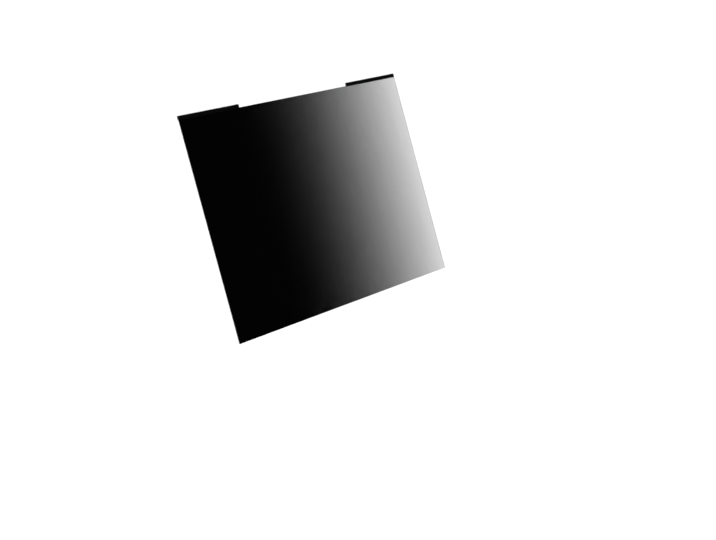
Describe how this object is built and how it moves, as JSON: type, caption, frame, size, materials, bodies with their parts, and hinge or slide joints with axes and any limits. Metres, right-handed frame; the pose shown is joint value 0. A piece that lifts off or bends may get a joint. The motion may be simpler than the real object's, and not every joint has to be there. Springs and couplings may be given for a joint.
{
  "type": "laptop privacy filter",
  "caption": "Thin tinted louvre sheet with flat black strips on its top edge, taped at the back, that hangs in front of a screen and narrows the angle it can be read from.",
  "frame": {"origin": "bottom centre of the whole outline, on the surface that the filter lies on, at the underside of the tape", "axes": "+X along the top edge from the black end of the sheet to the clear end, +Y in the plane of the sheet towards the edge with the tabs, +Z out of the front face"},
  "size_m": [0.3446, 0.197, 0.0011],
  "materials": {
    "louvre_film": "satin see-through film, black at the left end and clearing to light grey at the right end",
    "black_vinyl": "extruded, matt black",
    "acrylic_tape": "milky, slightly tacky"
  },
  "bodies": {
    "root": {"filter_sheet": "louvre_film", "left_hanging_tab": "black_vinyl", "right_hanging_tab": "black_vinyl", "left_tape_strip": "acrylic_tape", "right_tape_strip": "acrylic_tape"}
  },
  "joints": []
}
